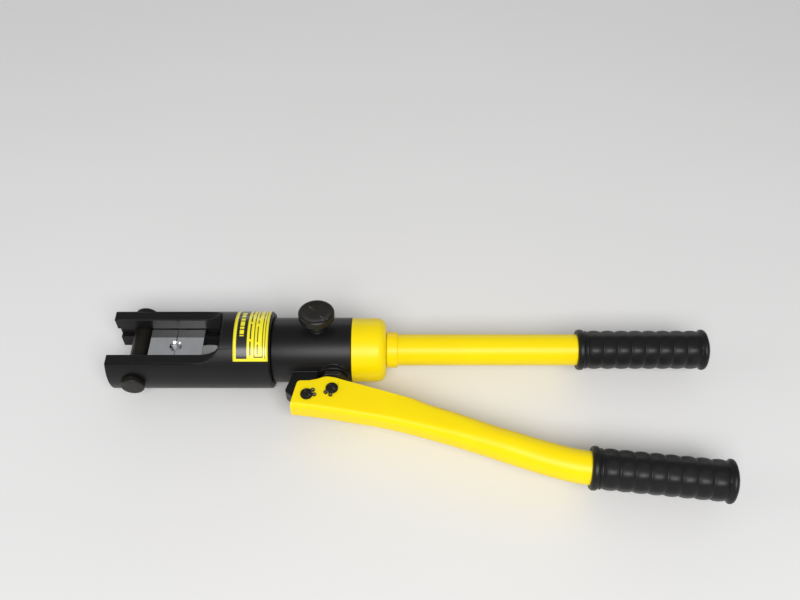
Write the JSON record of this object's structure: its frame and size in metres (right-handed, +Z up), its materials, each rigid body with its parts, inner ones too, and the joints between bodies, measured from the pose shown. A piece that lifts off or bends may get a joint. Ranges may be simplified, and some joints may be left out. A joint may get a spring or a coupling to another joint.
{
  "type": "hydraulic crimping tool",
  "caption": "Hand-pumped hydraulic crimping tool: open fork head with hexagon dies and ram, pump body with release knob, fixed handle and pumping lever.",
  "frame": {"origin": "centre of the bounding box's bottom face", "axes": "+X along the barrel from the fork to the handles, +Y across the barrel away from the lever, +Z up, towards the release knob"},
  "size_m": [0.4732, 0.1671, 0.0738],
  "materials": {
    "black_paint": "semi-gloss black paint on steel",
    "yellow_paint": "glossy yellow paint on steel",
    "black_rubber": "moulded rubber with a dull shine",
    "chrome": "polished chrome plate",
    "bright_steel": "ground and hardened steel",
    "black_steel": "blackened steel",
    "spring_steel": "oil-tempered spring wire",
    "seal_rubber": "matt black seal rubber",
    "brass": "turned brass",
    "label_film": "printed film with plain bars"
  },
  "bodies": {
    "root": {"crimp_head": "black_paint", "rod_wiper": "seal_rubber", "fixed_die": "chrome", "pump_body": "black_paint", "head_oring": "seal_rubber", "inlet_plug": "brass", "inlet_spring": "spring_steel", "outlet_plug": "brass", "outlet_spring": "spring_steel", "relief_screw": "brass", "relief_spring": "spring_steel", "suction_filter": "brass", "plunger_seal": "seal_rubber", "plunger_gland": "black_steel", "ram_return_spring": "spring_steel", "reservoir_collar": "yellow_paint", "collar_oring": "seal_rubber", "handle_socket": "yellow_paint", "handle_tube": "yellow_paint", "oil_bladder": "seal_rubber", "bladder_clamp": "bright_steel", "filler_plug": "brass", "fixed_grip": "black_rubber", "rating_label": "label_film"},
    "ram": {"ram": "bright_steel", "ram_seal": "seal_rubber", "ram_backup_ring": "brass"},
    "moving_die": {"moving_die": "chrome"},
    "lever": {"lever": "yellow_paint", "moving_grip": "black_rubber", "fulcrum_pin": "black_steel", "plunger_pin": "black_steel", "fulcrum_clip_top": "black_steel", "fulcrum_clip_bottom": "black_steel", "plunger_clip_top": "black_steel", "plunger_clip_bottom": "black_steel"},
    "plunger": {"pump_plunger": "bright_steel"},
    "release_lift": {"stem_seal": "seal_rubber", "release_ball": "bright_steel"},
    "release_knob": {"release_knob": "black_steel", "release_stem": "black_steel"},
    "head_pin": {"head_pin": "black_steel"},
    "pin_cap": {"pin_cap": "black_steel"},
    "inlet_ball": {"inlet_ball": "bright_steel"},
    "outlet_ball": {"outlet_ball": "bright_steel"},
    "relief_ball": {"relief_ball": "bright_steel"}
  },
  "joints": [
    {"name": "lever_swing", "type": "hinge", "parent": "root", "child": "lever", "pos_m": [-0.08005, 0.0009, 0.0305], "axis": [0, 0, -1], "range_deg": [0, 35]},
    {"name": "plunger_slide", "type": "slide", "parent": "root", "child": "plunger", "axis": [0, -1, 0], "range_m": [0, 0.0123]},
    {"name": "ram_slide", "type": "slide", "parent": "root", "child": "ram", "axis": [-1, 0, 0], "range_m": [0, 0.0166], "deforming": ["ram_return_spring"]},
    {"name": "moving_die_slide", "type": "slide", "parent": "root", "child": "moving_die", "axis": [-1, 0, 0], "range_m": [-0.0165, 0]},
    {"name": "release_lift_slide", "type": "slide", "parent": "root", "child": "release_lift", "axis": [0, 0.165, 0.9863], "range_m": [0, 0.0005]},
    {"name": "release_knob_turn", "type": "hinge", "parent": "release_lift", "child": "release_knob", "pos_m": [-0.07355, 0.0484, 0.0305], "axis": [0, 0.165, 0.9863], "range_deg": [0, 180]},
    {"name": "head_pin_slide", "type": "slide", "parent": "root", "child": "head_pin", "axis": [0, -1, 0], "range_m": [0, 0.08]},
    {"name": "pin_cap_off", "type": "slide", "parent": "root", "child": "pin_cap", "axis": [0, 1, 0], "range_m": [0, 0.02]},
    {"name": "inlet_ball_lift", "type": "slide", "parent": "root", "child": "inlet_ball", "axis": [-1, 0, 0], "range_m": [0, 0.001], "deforming": ["inlet_spring"]},
    {"name": "outlet_ball_lift", "type": "slide", "parent": "root", "child": "outlet_ball", "axis": [-1, 0, 0], "range_m": [0, 0.001], "deforming": ["outlet_spring"]},
    {"name": "relief_ball_lift", "type": "slide", "parent": "root", "child": "relief_ball", "axis": [1, 0, 0], "range_m": [0, 0.001], "deforming": ["relief_spring"]}
  ],
  "couplings": [
    {"joint": "plunger_slide", "follows": "lever_swing", "m_per_rad": 0.019417},
    {"joint": "release_knob_turn", "follows": "release_lift_slide", "rad_per_m": 6283}
  ]
}
